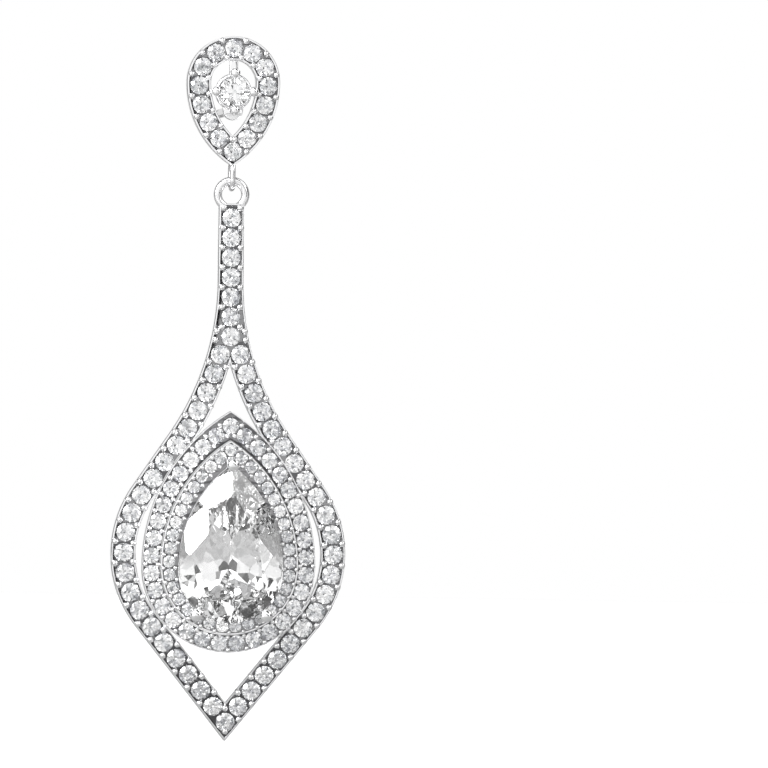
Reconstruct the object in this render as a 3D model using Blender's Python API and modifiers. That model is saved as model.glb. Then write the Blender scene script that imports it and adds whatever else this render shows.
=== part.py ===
"""Teardrop drop earring: a pave teardrop stud with a solitaire, a linked ring, and a long drop with two halos.

Metres, +Z up. The origin is where the ear post leaves the stud's flat back; the post runs along +Y and the
stones face -Y. Each sub-part is one object; the drop hangs on the stud's loop and turns about the loop's bar.
"""

import math

import bmesh
import bpy
from mathutils import Matrix

MM = 0.001

# Fits
FIT = 0.05 * MM
SINK = 0.12 * MM
WELD = 0.001 * MM

# Stud: a teardrop with its point down, drawn about the centre of its round end
STUD_RADIUS = 3.94 * MM
STUD_DROP = 7.08 * MM
STUD_CENTRE_Z = 2.33 * MM
STUD_BAND = 2.0 * MM
STUD_THICK = 1.45 * MM
STUD_STONES = 14

# Solitaire, its basket and the ear post
SOLITAIRE_RADIUS = 1.25 * MM
SOLITAIRE_Z = 1.53 * MM
SOLITAIRE_PROUD = 1.5 * MM
SOLITAIRE_CROWN = 0.4 * MM
SOLITAIRE_PAVILION = 1.05 * MM
PRONG_WIRE = 0.23 * MM
PRONG_BALL = 0.35 * MM
PRONG_PROUD = 0.5 * MM
PRONG_BEND = 0.4 * MM
GALLERY_RADIUS = 1.35 * MM
GALLERY_WIRE = 0.22 * MM
PAD_RADIUS = 0.85 * MM
PAD_THICK = 1.2 * MM
PAD_SIDES = 14
POST_RADIUS = 0.4 * MM
POST_LENGTH = 12.0 * MM
POST_GROOVE_BACK = 2.2 * MM
POST_GROOVE_WIDTH = 0.6 * MM
POST_GROOVE_DEPTH = 0.1 * MM
POST_SIDES = 14

# Loop under the stud and ring on top of the drop
LOOP_WIRE = 0.25 * MM
LOOP_RADIUS = 0.85 * MM
LOOP_STRAIGHT = 0.5 * MM
RING_RADIUS = 1.17 * MM
RING_WIRE = 0.35 * MM
RING_CENTRE_Z = -7.16 * MM

# Drop frame: neck, spreading limbs, round belly and point
DROP_PLANE_Y = -0.75 * MM
FRAME_THICK = 1.2 * MM
FRAME_BAND = 2.05 * MM
BELLY_CENTRE_Z = -37.63 * MM
NECK_HALF = 1.06 * MM
NECK_TOP_Z = -7.92 * MM
SWEEP_RADIUS = 23.0 * MM
FLANK_LEAN = math.radians(34.5)
POINT_LEAN = math.radians(38.7)
BOW_DEPTH = 1.2 * MM
BOW_TOP_Z = -12.0 * MM
BOW_SKEW = 1.4

# Pear stone and its basket
PEAR_RADIUS = 4.45 * MM
PEAR_DROP = 8.95 * MM
PEAR_LOW = 1.35 * MM
PEAR_CENTRE_Z = BELLY_CENTRE_Z - PEAR_LOW
PEAR_FACETS = 16
GIRDLE_PROUD = 3.6 * MM
PEAR_CROWN = 1.25 * MM
PEAR_PAVILION = 3.3 * MM
TABLE_SHARE = 0.58
CROWN_MID_SHARE = 0.83
CROWN_MID_HIGH = 0.56
PAVILION_MID_SHARE = 0.5
PAVILION_MID_DEEP = 0.58
GIRDLE_EDGE = 0.12 * MM
RAIL_HIGH = 0.25 * MM
RAIL_WIDE = 0.3 * MM
CLAW_WIRE = 0.3 * MM
CLAW_BALL = 0.48 * MM
CLAW_PROUD = 4.8 * MM
CLAW_LEAN = math.radians(-52.0)
LOW_RAIL_INSET = 0.3 * MM
HIGH_RAIL_BACK = 0.45 * MM
CLAW_FOOT_DEEP = 0.9 * MM
TOP_FOOT_ROOM = 1.15 * MM

# Halos round the pear: teardrops with their point up, drawn about their own round end's centre
HALO_LOW = 1.0 * MM
HALO_CENTRE_Z = BELLY_CENTRE_Z - HALO_LOW
PEAR_LAP = 0.25 * MM
PEAR_POINT_LAP = 0.55 * MM
INNER_OPENING_RADIUS = PEAR_RADIUS - PEAR_LAP
INNER_OPENING_DROP = PEAR_DROP - PEAR_POINT_LAP
INNER_BAND = 1.63 * MM
INNER_POINT_BAND = 2.2 * MM
INNER_RADIUS = INNER_OPENING_RADIUS + INNER_BAND
INNER_DROP = INNER_OPENING_DROP + INNER_POINT_BAND
INNER_PROUD = 2.4 * MM
INNER_THICK = 1.3 * MM
MIDDLE_BAND = 1.52 * MM
MIDDLE_POINT_BAND = 2.5 * MM
MIDDLE_RADIUS = INNER_RADIUS + MIDDLE_BAND
MIDDLE_DROP = INNER_DROP + MIDDLE_POINT_BAND
MIDDLE_PROUD = 1.7 * MM
MIDDLE_THICK = 1.2 * MM

# The belly goes round the middle halo with a slit at each side
SIDE_SLIT = 0.55 * MM
BELLY_RADIUS = MIDDLE_RADIUS + SIDE_SLIT + FRAME_BAND

# Pave: stone radius, pitch along the row, bead radius and how far the beads stand from the row
PAVE = {
    "stud": {"stone": 0.75 * MM, "bead": 0.25 * MM, "beside": 0.72 * MM},
    "frame": {"stone": 0.75 * MM, "bead": 0.25 * MM, "beside": 0.74 * MM},
    "middle": {"stone": 0.64 * MM, "bead": 0.2 * MM, "beside": 0.5 * MM},
    "inner": {"stone": 0.52 * MM, "bead": 0.17 * MM, "beside": 0.49 * MM},
}
NECK_PITCH = 1.68 * MM
NECK_STONES = 7
NECK_FIRST_Z = -9.15 * MM
LIMB_FIRST_X = 0.87 * MM
LIMB_PITCH = 1.72 * MM
MIDDLE_PITCH = 1.5 * MM
INNER_PITCH = 1.13 * MM
INNER_ROW_INSET = 0.69 * MM
INNER_ROW_POINT_INSET = 0.79 * MM
STONE_PROUD = 0.36 * MM
STONE_TABLE = 0.56
BEAD_PROUD = 0.45 * MM
BEAD_TOP = 0.7
STONE_SIDES = 8
BEAD_SIDES = 4

ARC_STEPS = 12
RING_STEPS = 16
LOOP_STEPS = 8
WIRE_SIDES = 6
SMOOTH_ANGLE = math.radians(32)
FLAT_ANGLE = math.radians(0.5)

PARTS_NAME = "teardrop_earring"


def start_scene():
    for old in list(bpy.data.objects):
        bpy.data.objects.remove(old)
    for name in (PARTS_NAME, "cutters"):
        bpy.context.scene.collection.children.link(bpy.data.collections.new(name))


def add_object(name, mesh, collection=PARTS_NAME):
    obj = bpy.data.objects.new(name, mesh)
    bpy.data.collections[collection].objects.link(obj)
    return obj


def add_material(name, colour, roughness, metallic, transmission=0.0):
    material = bpy.data.materials.new(name)
    material.use_nodes = True
    shader = material.node_tree.nodes["Principled BSDF"]
    shader.inputs["Base Color"].default_value = (*colour, 1.0)
    shader.inputs["Roughness"].default_value = roughness
    shader.inputs["Metallic"].default_value = metallic
    shader.inputs["Transmission Weight"].default_value = transmission
    return material


# Outlines, as lists of (x, z)


def arc(centre, radius, start, end, steps=ARC_STEPS):
    """Points from one angle to another, both included."""
    angles = [start + (end - start) * i / steps for i in range(steps + 1)]
    return [(centre[0] + radius * math.cos(a), centre[1] + radius * math.sin(a)) for a in angles]


def mirrored(side):
    """A closed outline from its right-hand side, which starts and ends on the centre line."""
    return side + [(-x, z) for x, z in reversed(side[1:-1])]


def teardrop_side(radius, drop, centre_z, point=1.0, inset=0.0):
    """Right side of a teardrop from its point to the round end, moved inwards by inset."""
    side_radius = (radius**2 + drop**2) / (2 * radius)
    centre_x = radius - side_radius
    top_angle = math.acos(-centre_x / (side_radius - inset))
    flank = arc((centre_x, 0.0), side_radius - inset, top_angle, 0.0)
    bowl = arc((0.0, 0.0), radius - inset, 0.0, -math.pi / 2)
    side = [(0.0, flank[0][1])] + flank[1:] + bowl[1:-1] + [(0.0, -(radius - inset))]
    return [(x, centre_z + point * z) for x, z in side]


def frame_side(inset=0.0):
    """Right side of the drop frame from the neck's top to the point, moved inwards by inset."""
    line_x = BELLY_RADIUS * math.cos(FLANK_LEAN)
    line_z = BELLY_RADIUS * math.sin(FLANK_LEAN)
    sweep_x = NECK_HALF + SWEEP_RADIUS
    foot_x = sweep_x - SWEEP_RADIUS * math.cos(FLANK_LEAN)
    sweep_z = line_z + (line_x - foot_x) / math.tan(FLANK_LEAN) + SWEEP_RADIUS * math.sin(FLANK_LEAN)
    sweep = arc((sweep_x, sweep_z), SWEEP_RADIUS + inset, math.pi, math.pi + FLANK_LEAN)
    belly = arc((0.0, 0.0), BELLY_RADIUS - inset, FLANK_LEAN, -POINT_LEAN, 2 * ARC_STEPS)
    point = (0.0, -(BELLY_RADIUS - inset) / math.sin(POINT_LEAN))
    neck = (NECK_HALF - inset, NECK_TOP_Z - BELLY_CENTRE_Z)
    return [(x, BELLY_CENTRE_Z + z) for x, z in [neck] + sweep + belly + [point]]


def walk(path, distance):
    """The point at a distance along a path, and the path's direction there."""
    for (x0, z0), (x1, z1) in zip(path, path[1:]):
        length = math.hypot(x1 - x0, z1 - z0)
        if distance <= length + 1e-12:
            share = distance / length
            return (x0 + (x1 - x0) * share, z0 + (z1 - z0) * share), ((x1 - x0) / length, (z1 - z0) / length)
        distance -= length
    return path[-1], ((x1 - x0) / length, (z1 - z0) / length)


def path_length(path):
    return sum(math.hypot(x1 - x0, z1 - z0) for (x0, z0), (x1, z1) in zip(path, path[1:]))


def inside(point, outline):
    """Whether a point lies inside a closed outline."""
    x, z = point
    crossed = False
    for (x0, z0), (x1, z1) in zip(outline, outline[1:] + outline[:1]):
        if (z0 > z) != (z1 > z) and x < x0 + (x1 - x0) * (z - z0) / (z1 - z0):
            crossed = not crossed
    return crossed


# Solids


def mesh_of(obj):
    """A curve object's welded mesh in world space; the curve is removed."""
    bpy.context.view_layer.update()
    mesh = bpy.data.meshes.new_from_object(obj.evaluated_get(bpy.context.evaluated_depsgraph_get()))
    mesh.transform(obj.matrix_world)
    bpy.data.objects.remove(obj)
    shape = bmesh.new()
    shape.from_mesh(mesh)
    bmesh.ops.remove_doubles(shape, verts=shape.verts, dist=WELD)
    bmesh.ops.recalc_face_normals(shape, faces=shape.faces)
    shape.to_mesh(mesh)
    shape.free()
    return mesh


def plate(outlines, front_y, thickness):
    """A flat plate standing in the XZ plane, from its outlines, with its front face at front_y."""
    curve = bpy.data.curves.new("plate", "CURVE")
    curve.dimensions = "2D"
    curve.fill_mode = "BOTH"
    curve.extrude = thickness / 2
    for outline in outlines:
        spline = curve.splines.new("POLY")
        spline.points.add(len(outline) - 1)
        for place, (x, z) in zip(spline.points, outline):
            place.co = (x, z, 0.0, 1.0)
        spline.use_cyclic_u = True
    obj = add_object("plate", curve)
    obj.rotation_euler = (math.pi / 2, 0.0, 0.0)
    obj.location = (0.0, front_y + thickness / 2, 0.0)
    return mesh_of(obj)


def wire(points, radius, closed=False):
    """A round wire through points."""
    curve = bpy.data.curves.new("wire", "CURVE")
    curve.dimensions = "3D"
    curve.bevel_depth = radius
    curve.bevel_resolution = (WIRE_SIDES - 4) // 2
    curve.use_fill_caps = True
    spline = curve.splines.new("POLY")
    spline.points.add(len(points) - 1)
    for place, point in zip(spline.points, points):
        place.co = (*point, 1.0)
    spline.use_cyclic_u = closed
    return mesh_of(add_object("wire", curve))


def primitive(make, matrix, **sizes):
    shape = bmesh.new()
    make(shape, matrix=matrix, **sizes)
    mesh = bpy.data.meshes.new("primitive")
    shape.to_mesh(mesh)
    shape.free()
    return mesh


def ball(centre, radius):
    return primitive(bmesh.ops.create_icosphere, Matrix.Translation(centre), subdivisions=2, radius=radius)


def stub(centre, front_y, back_y, front_radius, back_radius, sides, turn=0.0):
    """A short cone along Y; centre is (x, z)."""
    depth = back_y - front_y
    matrix = (
        Matrix.Translation((centre[0], front_y + depth / 2, centre[1]))
        @ Matrix.Rotation(math.pi / 2, 4, "X")
        @ Matrix.Rotation(turn, 4, "Z")
    )
    return primitive(
        bmesh.ops.create_cone, matrix, cap_ends=True, segments=sides,
        radius1=back_radius, radius2=front_radius, depth=depth,
    )


def join(meshes):
    shape = bmesh.new()
    for mesh in meshes:
        shape.from_mesh(mesh)
        bpy.data.meshes.remove(mesh)
    joined = bpy.data.meshes.new("joined")
    shape.to_mesh(joined)
    shape.free()
    return joined


def combine(obj, mesh, operation):
    """Joins a mesh to an object, or cuts it out, for good."""
    other = add_object("cutter", mesh, "cutters")
    other.hide_render = True
    other.display_type = "WIRE"
    modifier = obj.modifiers.new(operation.lower(), "BOOLEAN")
    modifier.operation = operation
    modifier.solver = "EXACT"
    modifier.use_self = True
    modifier.object = other
    bpy.context.view_layer.update()
    result = bpy.data.meshes.new_from_object(obj.evaluated_get(bpy.context.evaluated_depsgraph_get()))
    obj.modifiers.remove(modifier)
    obj.data = result
    bpy.data.objects.remove(other)


def bow(z):
    """How far the drop frame stands forward at a height."""
    point_z = BELLY_CENTRE_Z - BELLY_RADIUS / math.sin(POINT_LEAN)
    share = min(max((BOW_TOP_Z - z) / (BOW_TOP_Z - point_z), 0.0), 1.0)
    return BOW_DEPTH * math.sin(math.pi * share**BOW_SKEW)


def bend_forward(obj):
    """Follows the bow, with the faces split into triangles first so that they stay closed."""
    shape = bmesh.new()
    shape.from_mesh(obj.data)
    bmesh.ops.triangulate(shape, faces=shape.faces)
    for vert in shape.verts:
        vert.co.y -= bow(vert.co.z)
    shape.to_mesh(obj.data)
    shape.free()


def pave_stone(centre, face_y, radius, turn):
    return stub(
        centre, face_y - STONE_PROUD, face_y + SINK, STONE_TABLE * radius, radius, STONE_SIDES,
        turn + math.pi / STONE_SIDES,
    )


def pave_bead(centre, face_y, radius, turn):
    return stub(centre, face_y - BEAD_PROUD, face_y + SINK, BEAD_TOP * radius, radius, BEAD_SIDES, turn)


def pave_row(path, places, face_y, sizes, bare=None):
    """Stones at places along a path, with a bead each side of the row between one stone and the next.

    A bead whose centre falls inside the outline bare is left out.
    """
    solids = []
    for place in places:
        centre, (dx, dz) = walk(path, place)
        solids.append(pave_stone(centre, face_y, sizes["stone"], math.atan2(dz, dx)))
    for here, after in zip(places, places[1:]):
        middle, (dx, dz) = walk(path, (here + after) / 2)
        for side in (-1, 1):
            bead = (middle[0] - dz * side * sizes["beside"], middle[1] + dx * side * sizes["beside"])
            if bare and inside(bead, bare):
                continue
            solids.append(pave_bead(bead, face_y, sizes["bead"], math.atan2(dz, dx)))
    return solids


def ring_places(path, count):
    """Even places round a closed path, from its start, with the start again at the end."""
    length = path_length(path)
    return [length * i / count for i in range(count + 1)]


def pave_ring(side, pitch, face_y, sizes, count=None):
    """A full ring of pave along a closed outline given by its right side."""
    path = mirrored(side)
    path.append(path[0])
    count = count or round(path_length(path) / pitch)
    solids = pave_row(path, ring_places(path, count), face_y, sizes)
    bpy.data.meshes.remove(solids.pop(count))
    return solids


def finish(obj, material):
    obj.data.materials.clear()
    obj.data.materials.append(material)
    obj.data.shade_smooth()
    obj.data.set_sharp_from_angle(angle=SMOOTH_ANGLE)


# Pieces


def loop_bar_z():
    """The height of the loop's bar, on which the ring hangs: the joint's axis."""
    ring_hole_top = RING_CENTRE_Z + RING_RADIUS - RING_WIRE
    return ring_hole_top - FIT - LOOP_WIRE


def loop_points():
    low = loop_bar_z() + LOOP_RADIUS
    bottom = arc((DROP_PLANE_Y, low), LOOP_RADIUS, math.pi, 2 * math.pi, LOOP_STEPS)
    top = arc((DROP_PLANE_Y, low + LOOP_STRAIGHT), LOOP_RADIUS, 0.0, math.pi, LOOP_STEPS)
    return [(0.0, y, z) for y, z in bottom + top]


def make_stud_frame(metal):
    outer = mirrored(teardrop_side(STUD_RADIUS, STUD_DROP, STUD_CENTRE_Z, -1.0))
    opening = mirrored(teardrop_side(STUD_RADIUS, STUD_DROP, STUD_CENTRE_Z, -1.0, STUD_BAND))
    row = teardrop_side(STUD_RADIUS, STUD_DROP, STUD_CENTRE_Z, -1.0, STUD_BAND / 2)
    frame = add_object("stud_frame", plate([outer, opening], -STUD_THICK, STUD_THICK))
    combine(frame, join(pave_ring(row, None, -STUD_THICK, PAVE["stud"], STUD_STONES)), "UNION")
    combine(frame, wire(loop_points(), LOOP_WIRE, closed=True), "UNION")
    finish(frame, metal)


def prong_points(centre_z, angle, profile):
    """A prong's points from (reach, y) pairs, in the direction angle from a stone's centre."""
    return [(r * math.cos(angle), y, centre_z + r * math.sin(angle)) for r, y in profile]


def make_solitaire_basket(metal):
    """Gallery ring, four ball-tipped prongs, a bridge to the frame and the pad that the post stands on."""
    girdle_y = -STUD_THICK - SOLITAIRE_PROUD + SOLITAIRE_CROWN
    gallery_y = -STUD_THICK + GALLERY_WIRE + 2 * FIT
    ring = [
        (x, gallery_y, z)
        for x, z in arc((0.0, SOLITAIRE_Z), GALLERY_RADIUS, 0.0, 2 * math.pi, RING_STEPS)[:-1]
    ]
    basket = add_object("solitaire_basket", wire(ring, GALLERY_WIRE, closed=True))
    reach = SOLITAIRE_RADIUS + PRONG_WIRE + 2 * FIT
    tip_y = girdle_y - PRONG_PROUD
    profile = [(GALLERY_RADIUS, gallery_y), (reach, gallery_y - PRONG_BEND), (reach, tip_y)]
    for turn in range(4):
        points = prong_points(SOLITAIRE_Z, turn * math.pi / 2, profile)
        combine(basket, wire(points, PRONG_WIRE), "UNION")
        combine(basket, ball(points[-1], PRONG_BALL), "UNION")
    opening_top = STUD_CENTRE_Z + STUD_RADIUS - STUD_BAND
    bridge = [(0.0, gallery_y, SOLITAIRE_Z + GALLERY_RADIUS), (0.0, gallery_y, opening_top - FIT)]
    combine(basket, wire(bridge, PRONG_WIRE), "UNION")
    combine(basket, stub((0.0, 0.0), -PAD_THICK, 0.0, PAD_RADIUS, PAD_RADIUS, PAD_SIDES), "UNION")
    finish(basket, metal)


def make_ear_post(metal):
    """Turned post: plain, with a shallow groove near its rounded tip."""
    start = FIT
    end = start + POST_LENGTH
    groove = end - POST_GROOVE_BACK
    waist = POST_RADIUS - POST_GROOVE_DEPTH
    profile = [
        (0.0, start),
        (POST_RADIUS, start),
        (POST_RADIUS, groove - POST_GROOVE_WIDTH / 2),
        (waist, groove - POST_GROOVE_WIDTH / 4),
        (waist, groove + POST_GROOVE_WIDTH / 4),
        (POST_RADIUS, groove + POST_GROOVE_WIDTH / 2),
        (POST_RADIUS, end - POST_RADIUS),
        (POST_RADIUS * math.cos(math.pi / 6), end - POST_RADIUS / 2),
        (POST_RADIUS / 2, end - POST_RADIUS * (1 - math.cos(math.pi / 6))),
        (0.0, end),
    ]
    shape = bmesh.new()
    verts = [shape.verts.new((radius, 0.0, -along)) for radius, along in profile]
    for first, second in zip(verts, verts[1:]):
        shape.edges.new((first, second))
    mesh = bpy.data.meshes.new("ear_post")
    shape.to_mesh(mesh)
    shape.free()
    post = add_object("ear_post", mesh)
    post.rotation_euler = (math.pi / 2, 0.0, 0.0)
    screw = post.modifiers.new("turn", "SCREW")
    screw.axis = "Z"
    screw.steps = POST_SIDES
    screw.render_steps = POST_SIDES
    screw.use_merge_vertices = True
    screw.merge_threshold = 1e-6
    screw.use_normal_calculate = True
    post.data.materials.append(metal)


def cut_stone(name, outline_at, heights, material):
    """A faceted stone: the hull of its table, crown, girdle, pavilion and culet points.

    outline_at(share, half_step) gives a closed outline at a share of the girdle's size.
    """
    shape = bmesh.new()
    for share, half_step, y in heights:
        for x, z in outline_at(share, half_step):
            shape.verts.new((x, y, z))
    hull = bmesh.ops.convex_hull(shape, input=shape.verts)
    loose = [item for item in hull["geom_interior"] if isinstance(item, bmesh.types.BMVert)]
    bmesh.ops.delete(shape, geom=loose, context="VERTS")
    bmesh.ops.dissolve_limit(
        shape, angle_limit=FLAT_ANGLE, verts=shape.verts, edges=shape.edges
    )
    bmesh.ops.recalc_face_normals(shape, faces=shape.faces)
    mesh = bpy.data.meshes.new(name)
    shape.to_mesh(mesh)
    shape.free()
    stone = add_object(name, mesh)
    stone.data.materials.append(material)


def make_solitaire_stone(crystal):
    table_y = -STUD_THICK - SOLITAIRE_PROUD
    girdle_y = table_y + SOLITAIRE_CROWN

    def outline_at(share, half_step):
        radius = SOLITAIRE_RADIUS * share
        turn = math.pi / 8 * half_step
        return [
            (radius * math.cos(turn + a * math.pi / 4), SOLITAIRE_Z + radius * math.sin(turn + a * math.pi / 4))
            for a in range(8)
        ]

    rows = [
        (TABLE_SHARE, 0, table_y),
        (CROWN_MID_SHARE, 1, girdle_y - CROWN_MID_HIGH * SOLITAIRE_CROWN),
        (1.0, 0, girdle_y),
        (1.0, 1, girdle_y),
        (1.0, 0, girdle_y + GIRDLE_EDGE / 2),
        (1.0, 1, girdle_y + GIRDLE_EDGE / 2),
        (0.0, 0, girdle_y + SOLITAIRE_PAVILION),
    ]
    cut_stone("solitaire_stone", outline_at, rows, crystal)


def pear_outline(share, half_step):
    """Even points round the pear at a share of its size, half a step on where half_step is 1."""
    path = mirrored(teardrop_side(PEAR_RADIUS, PEAR_DROP, 0.0))
    path.append(path[0])
    length = path_length(path)
    points = []
    for i in range(PEAR_FACETS):
        (x, z), _ = walk(path, length * (i + half_step / 2) / PEAR_FACETS)
        points.append((x * share, PEAR_CENTRE_Z + z * share))
    return points


def plane_y(proud):
    """The Y of a face that stands this far before the neck's front face."""
    return DROP_PLANE_Y - FRAME_THICK / 2 - proud


def make_pear_stone(crystal):
    girdle_y = plane_y(GIRDLE_PROUD)
    rows = [
        (TABLE_SHARE, 0, girdle_y - PEAR_CROWN),
        (CROWN_MID_SHARE, 1, girdle_y - CROWN_MID_HIGH * PEAR_CROWN),
        (1.0, 0, girdle_y),
        (1.0, 1, girdle_y),
        (1.0, 0, girdle_y + GIRDLE_EDGE),
        (1.0, 1, girdle_y + GIRDLE_EDGE),
        (PAVILION_MID_SHARE, 0, girdle_y + PAVILION_MID_DEEP * PEAR_PAVILION),
        (0.0, 0, girdle_y + PEAR_PAVILION),
    ]
    cut_stone("pear_stone", pear_outline, rows, crystal)


def make_drop_frame(metal):
    outer = mirrored([(0.0, NECK_TOP_Z)] + frame_side())
    opening = [point for point in frame_side(FRAME_BAND) if point[0] > 0]
    opening = mirrored([crossing(frame_side(FRAME_BAND))] + opening + [frame_side(FRAME_BAND)[-1]])
    frame = add_object("drop_frame", plate([outer, opening], plane_y(0.0), FRAME_THICK))
    neck = [(0.0, NECK_FIRST_Z - i * NECK_PITCH) for i in range(NECK_STONES)]
    first = LIMB_FIRST_X
    limb = frame_side(FRAME_BAND / 2)
    start = next(i for i, (x, _) in enumerate(limb) if x > first)
    (x0, z0), (x1, z1) = limb[start - 1], limb[start]
    limb = [(first, z0 + (z1 - z0) * (first - x0) / (x1 - x0))] + limb[start:]
    count = round(path_length(limb) / LIMB_PITCH)
    places = [path_length(limb) * i / count for i in range(count + 1)]
    face_y = plane_y(0.0)
    sizes = PAVE["frame"]
    rim = mirrored(teardrop_side(MIDDLE_RADIUS, MIDDLE_DROP, HALO_CENTRE_Z, 1.0, -sizes["bead"] - 2 * FIT))
    right = pave_row(limb, places, face_y, sizes, rim)
    left = pave_row([(-x, z) for x, z in limb], places[:-1], face_y, sizes, rim)
    singles = pave_row(neck, [i * NECK_PITCH for i in range(NECK_STONES)], face_y, sizes)
    combine(frame, join(right + left + singles), "UNION")
    seat = mirrored(teardrop_side(MIDDLE_RADIUS, MIDDLE_DROP, HALO_CENTRE_Z, 1.0, -FIT))
    combine(frame, plate([seat], plane_y(0.0) - FRAME_THICK, 3 * FRAME_THICK), "DIFFERENCE")
    bend_forward(frame)
    ring = [
        (x, DROP_PLANE_Y, z)
        for x, z in arc((0.0, RING_CENTRE_Z), RING_RADIUS, 0.0, 2 * math.pi, RING_STEPS)[:-1]
    ]
    combine(frame, wire(ring, RING_WIRE, closed=True), "UNION")
    finish(frame, metal)


def crossing(side):
    """Where a side's path first crosses the centre line."""
    for (x0, z0), (x1, z1) in zip(side, side[1:]):
        if x0 <= 0 < x1:
            return (0.0, z0 + (z1 - z0) * -x0 / (x1 - x0))
    return side[0]


def make_middle_halo(metal):
    face_y = plane_y(MIDDLE_PROUD)
    outer = mirrored(teardrop_side(MIDDLE_RADIUS, MIDDLE_DROP, HALO_CENTRE_Z))
    opening = mirrored(teardrop_side(INNER_RADIUS, INNER_DROP, HALO_CENTRE_Z, 1.0, -FIT))
    halo = add_object("middle_halo", plate([outer, opening], face_y, MIDDLE_THICK))
    row = teardrop_side((MIDDLE_RADIUS + INNER_RADIUS) / 2, (MIDDLE_DROP + INNER_DROP) / 2, HALO_CENTRE_Z)
    combine(halo, join(pave_ring(row, MIDDLE_PITCH, face_y, PAVE["middle"])), "UNION")
    finish(halo, metal)


def make_inner_halo(metal):
    face_y = plane_y(INNER_PROUD)
    outer = mirrored(teardrop_side(INNER_RADIUS, INNER_DROP, HALO_CENTRE_Z))
    opening = mirrored(teardrop_side(INNER_OPENING_RADIUS, INNER_OPENING_DROP, HALO_CENTRE_Z))
    halo = add_object("inner_halo", plate([outer, opening], face_y, INNER_THICK))
    row = teardrop_side(INNER_RADIUS - INNER_ROW_INSET, INNER_DROP - INNER_ROW_POINT_INSET, HALO_CENTRE_Z)
    combine(halo, join(pave_ring(row, INNER_PITCH, face_y, PAVE["inner"])), "UNION")
    finish(halo, metal)


def rail(front_y, inset):
    outer = mirrored(teardrop_side(PEAR_RADIUS, PEAR_DROP, PEAR_CENTRE_Z, 1.0, inset))
    opening = mirrored(teardrop_side(PEAR_RADIUS, PEAR_DROP, PEAR_CENTRE_Z, 1.0, inset + RAIL_WIDE))
    return plate([outer, opening], front_y, RAIL_HIGH)


def make_pear_basket(metal):
    """Two rails under the girdle and three claws that stand straight up beside it, each with a ball tip."""
    girdle_y = plane_y(GIRDLE_PROUD)
    halo_y = plane_y(INNER_PROUD)
    foot_y = halo_y + CLAW_FOOT_DEEP
    basket = add_object("pear_basket", rail(halo_y - FIT - RAIL_HIGH, LOW_RAIL_INSET))
    combine(basket, rail(girdle_y + HIGH_RAIL_BACK, FIT), "UNION")
    lower = HALO_CENTRE_Z - PEAR_CENTRE_Z
    low_foot = INNER_OPENING_RADIUS - lower * math.sin(-CLAW_LEAN) - CLAW_WIRE - 2 * FIT
    top_foot = INNER_OPENING_DROP + lower - TOP_FOOT_ROOM
    for angle, foot, edge in (
        (math.pi / 2, top_foot, PEAR_DROP),
        (CLAW_LEAN, low_foot, PEAR_RADIUS),
        (-math.pi - CLAW_LEAN, low_foot, PEAR_RADIUS),
    ):
        beside = edge + CLAW_WIRE + FIT
        profile = [(foot, foot_y), (foot, halo_y), (beside, girdle_y + HIGH_RAIL_BACK), (beside, plane_y(CLAW_PROUD))]
        points = prong_points(PEAR_CENTRE_Z, angle, profile)
        combine(basket, wire(points, CLAW_WIRE), "UNION")
        combine(basket, ball(points[-1], CLAW_BALL), "UNION")
    finish(basket, metal)


def main():
    start_scene()
    metal = add_material("rhodium_plate", (0.84, 0.85, 0.86), 0.12, 1.0)
    pave = add_material("pave_set_metal", (0.88, 0.89, 0.90), 0.1, 0.9)
    crystal = add_material("clear_zirconia", (0.98, 0.98, 1.0), 0.02, 0.0, 1.0)
    make_stud_frame(pave)
    make_solitaire_basket(metal)
    make_solitaire_stone(crystal)
    make_ear_post(metal)
    make_drop_frame(pave)
    make_middle_halo(pave)
    make_inner_halo(pave)
    make_pear_basket(metal)
    make_pear_stone(crystal)


main()
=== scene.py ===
import math

import bpy
from mathutils import Matrix, Vector


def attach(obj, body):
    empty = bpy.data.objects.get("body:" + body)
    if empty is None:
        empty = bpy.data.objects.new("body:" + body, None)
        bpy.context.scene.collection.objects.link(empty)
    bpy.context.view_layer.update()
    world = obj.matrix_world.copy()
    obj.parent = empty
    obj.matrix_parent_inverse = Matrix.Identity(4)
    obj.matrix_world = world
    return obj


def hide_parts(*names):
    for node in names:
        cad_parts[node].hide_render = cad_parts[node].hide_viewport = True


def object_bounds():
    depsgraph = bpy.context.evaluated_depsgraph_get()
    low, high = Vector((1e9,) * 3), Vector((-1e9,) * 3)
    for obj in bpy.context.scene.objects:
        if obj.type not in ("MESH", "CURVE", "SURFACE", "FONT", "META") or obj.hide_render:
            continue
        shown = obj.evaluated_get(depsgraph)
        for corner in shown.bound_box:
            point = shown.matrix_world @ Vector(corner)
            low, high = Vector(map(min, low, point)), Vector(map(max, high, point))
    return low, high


# Everything is shaped in millimetres and made metres by finishPiece.
# The stones face -Y, the ear post runs back along +Y and Z is up.

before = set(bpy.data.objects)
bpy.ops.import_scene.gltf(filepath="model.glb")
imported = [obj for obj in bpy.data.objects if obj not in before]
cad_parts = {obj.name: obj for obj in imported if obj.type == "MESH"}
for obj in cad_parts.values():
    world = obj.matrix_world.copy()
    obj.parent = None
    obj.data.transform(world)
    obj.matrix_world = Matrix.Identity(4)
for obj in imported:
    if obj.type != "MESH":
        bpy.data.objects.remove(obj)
cadBox = [list(corner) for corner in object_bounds()]
print("frame loaded:", ", ".join(sorted(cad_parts)))


smoothAngles = {"band": 25, "bead": 60, "wire": 60, "setting": 40, "post": 35}  # degrees
facing = {"front": -0.9, "forward": -0.1, "back": 0.9}  # limits for the y of a face's normal
ballMesh = {"around": 28, "rings": 18}
weldWithin = 0.0005


def deselectAll():
    if bpy.context.mode != "OBJECT":
        bpy.ops.object.mode_set(mode="OBJECT")
    bpy.ops.object.select_all(action="DESELECT")


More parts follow.
